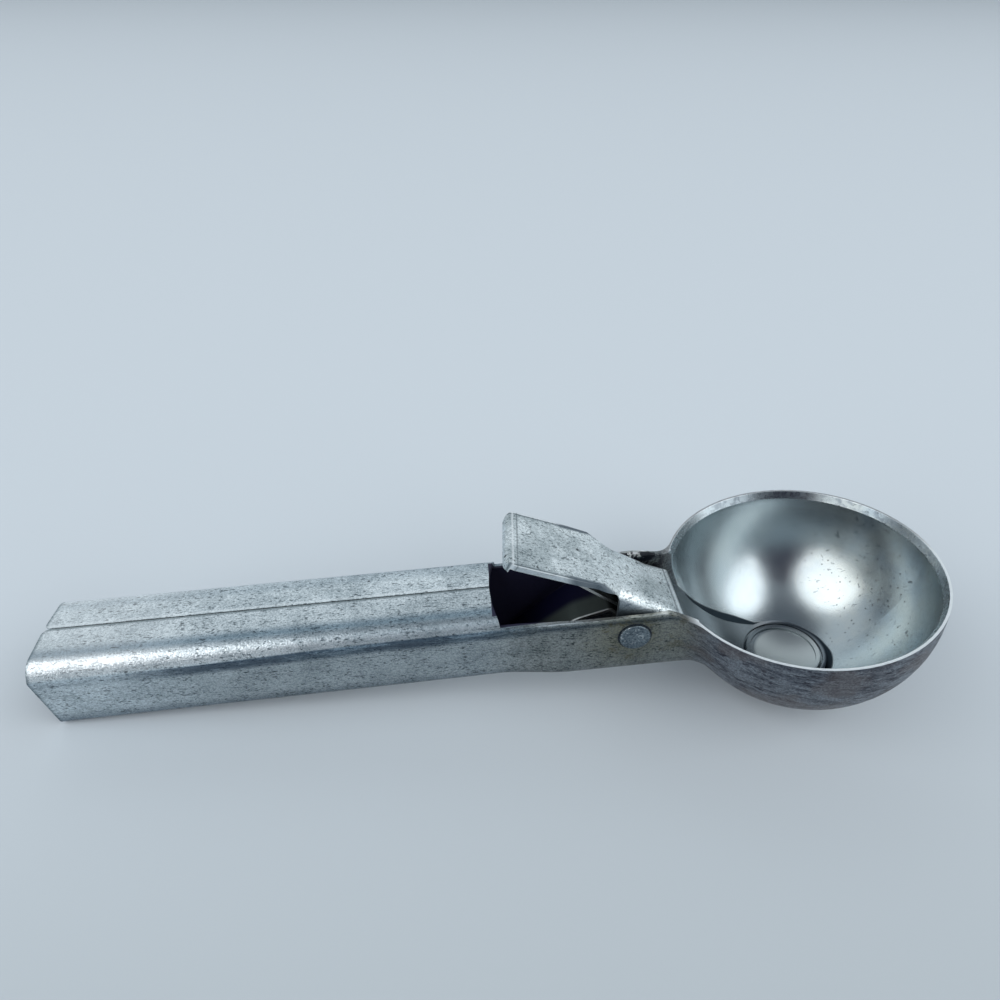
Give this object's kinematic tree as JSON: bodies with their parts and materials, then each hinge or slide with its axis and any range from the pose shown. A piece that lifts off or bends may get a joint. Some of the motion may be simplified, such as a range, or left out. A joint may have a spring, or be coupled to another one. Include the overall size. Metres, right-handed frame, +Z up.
{
  "type": "ice cream scoop",
  "caption": "Stamped aluminium thumb-lever scoop: round bowl, open neck, folded tube handle, sprung lever with an ejector tongue in the bowl.",
  "frame": {"origin": "middle of the footprint on the surface that the scoop lies on; the bowl's bottom and the handle's rear end touch that surface", "axes": "+X from the handle to the bowl, +Z up out of the open bowl, +Y to the user's left when the bowl points away"},
  "size_m": [0.2013, 0.0606, 0.0444],
  "materials": {
    "body_sheet": "tumbled, speckled with wear",
    "lever_sheet": "tumbled, scratched",
    "rivet": "dull",
    "spring_steel": "dull spring strip"
  },
  "bodies": {
    "scoop": {"scoop_body": "body_sheet", "pivot_rivet": "rivet", "return_spring": "spring_steel"},
    "lever": {"thumb_lever": "lever_sheet"}
  },
  "joints": [
    {"name": "thumb_press", "type": "hinge", "parent": "scoop", "child": "lever", "pos_m": [0.03016, 0, 0.02353], "axis": [0, -1, 0], "range_deg": [0, 22], "stiffness_Nm_per_rad": 0.3, "springref_deg": -17.19, "deforming": ["return_spring"]}
  ]
}
